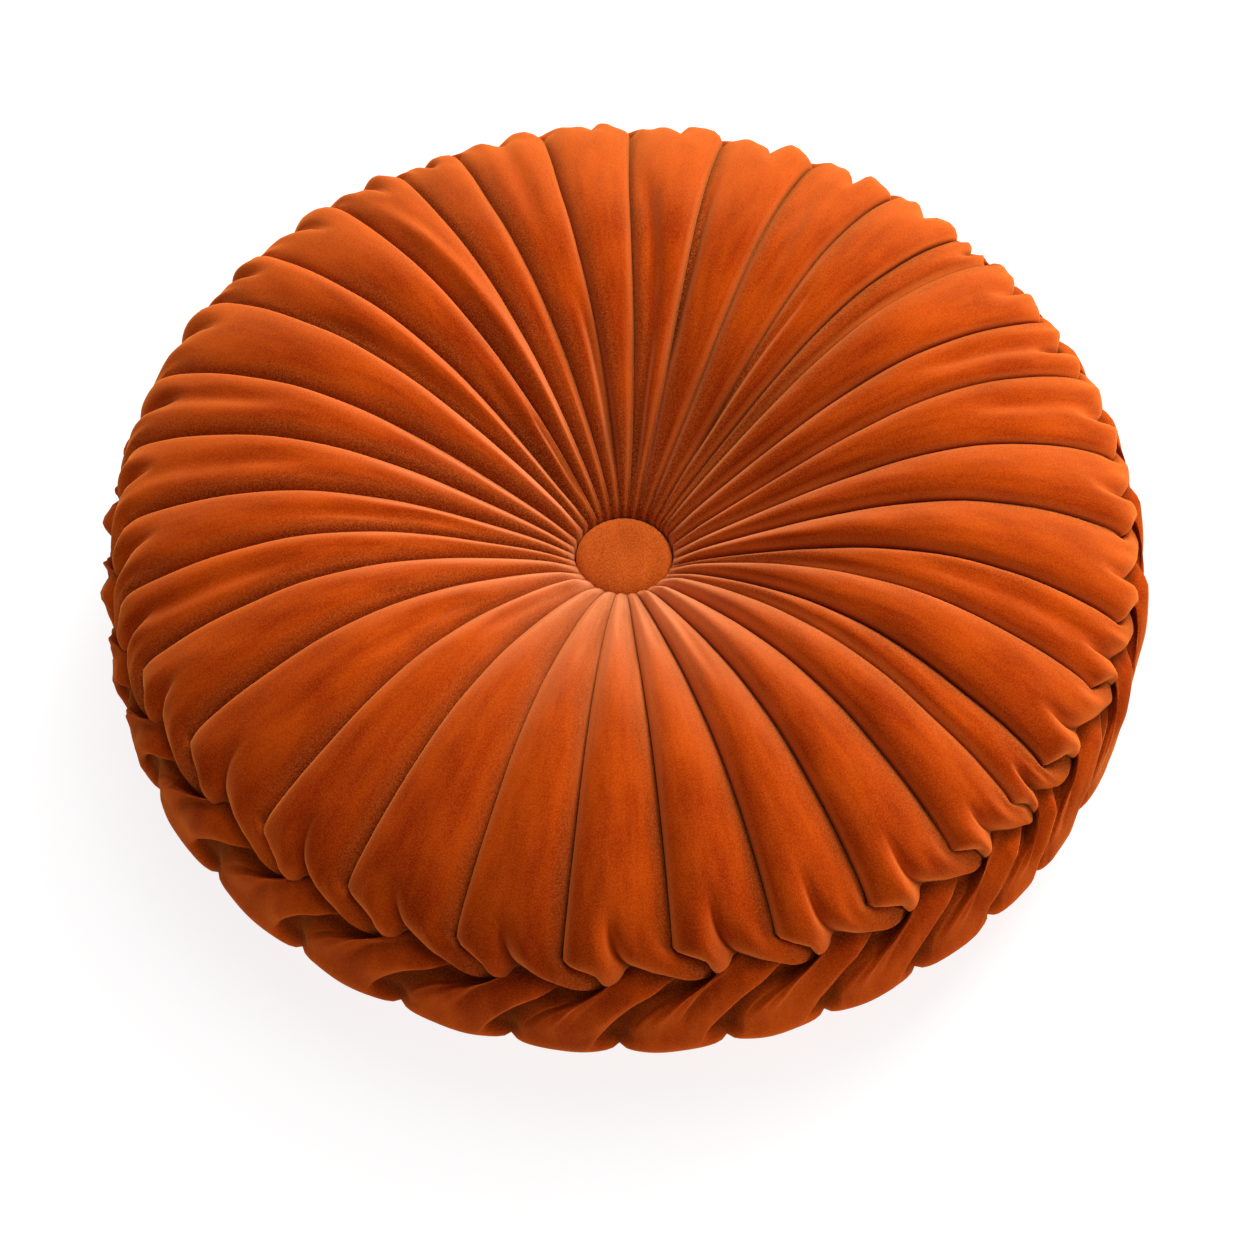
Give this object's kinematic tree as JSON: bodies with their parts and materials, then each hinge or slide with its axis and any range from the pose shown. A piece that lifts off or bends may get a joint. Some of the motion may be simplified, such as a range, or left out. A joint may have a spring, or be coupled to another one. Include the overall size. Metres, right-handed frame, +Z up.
{
  "type": "round pleated cushion",
  "caption": "Round filled velvet cushion: radial pleats run from a covered button over a full crown into a lattice of crossing folds round the side, and on to a button behind.",
  "frame": {"origin": "on the floor under the middle of the cushion, which lies on its back", "axes": "+Z up through both buttons, square to the pleated face; -Y towards the side that the picture is taken from"},
  "size_m": [0.4005, 0.4008, 0.1148],
  "materials": {
    "pleated_velvet": "short dense velvet pile, matt face on and pale at grazing angles",
    "button_velvet": "the same velvet stretched smooth over a button form"
  },
  "bodies": {
    "root": {"pleated_cover": "pleated_velvet", "top_button": "button_velvet", "back_button": "button_velvet"}
  },
  "joints": []
}
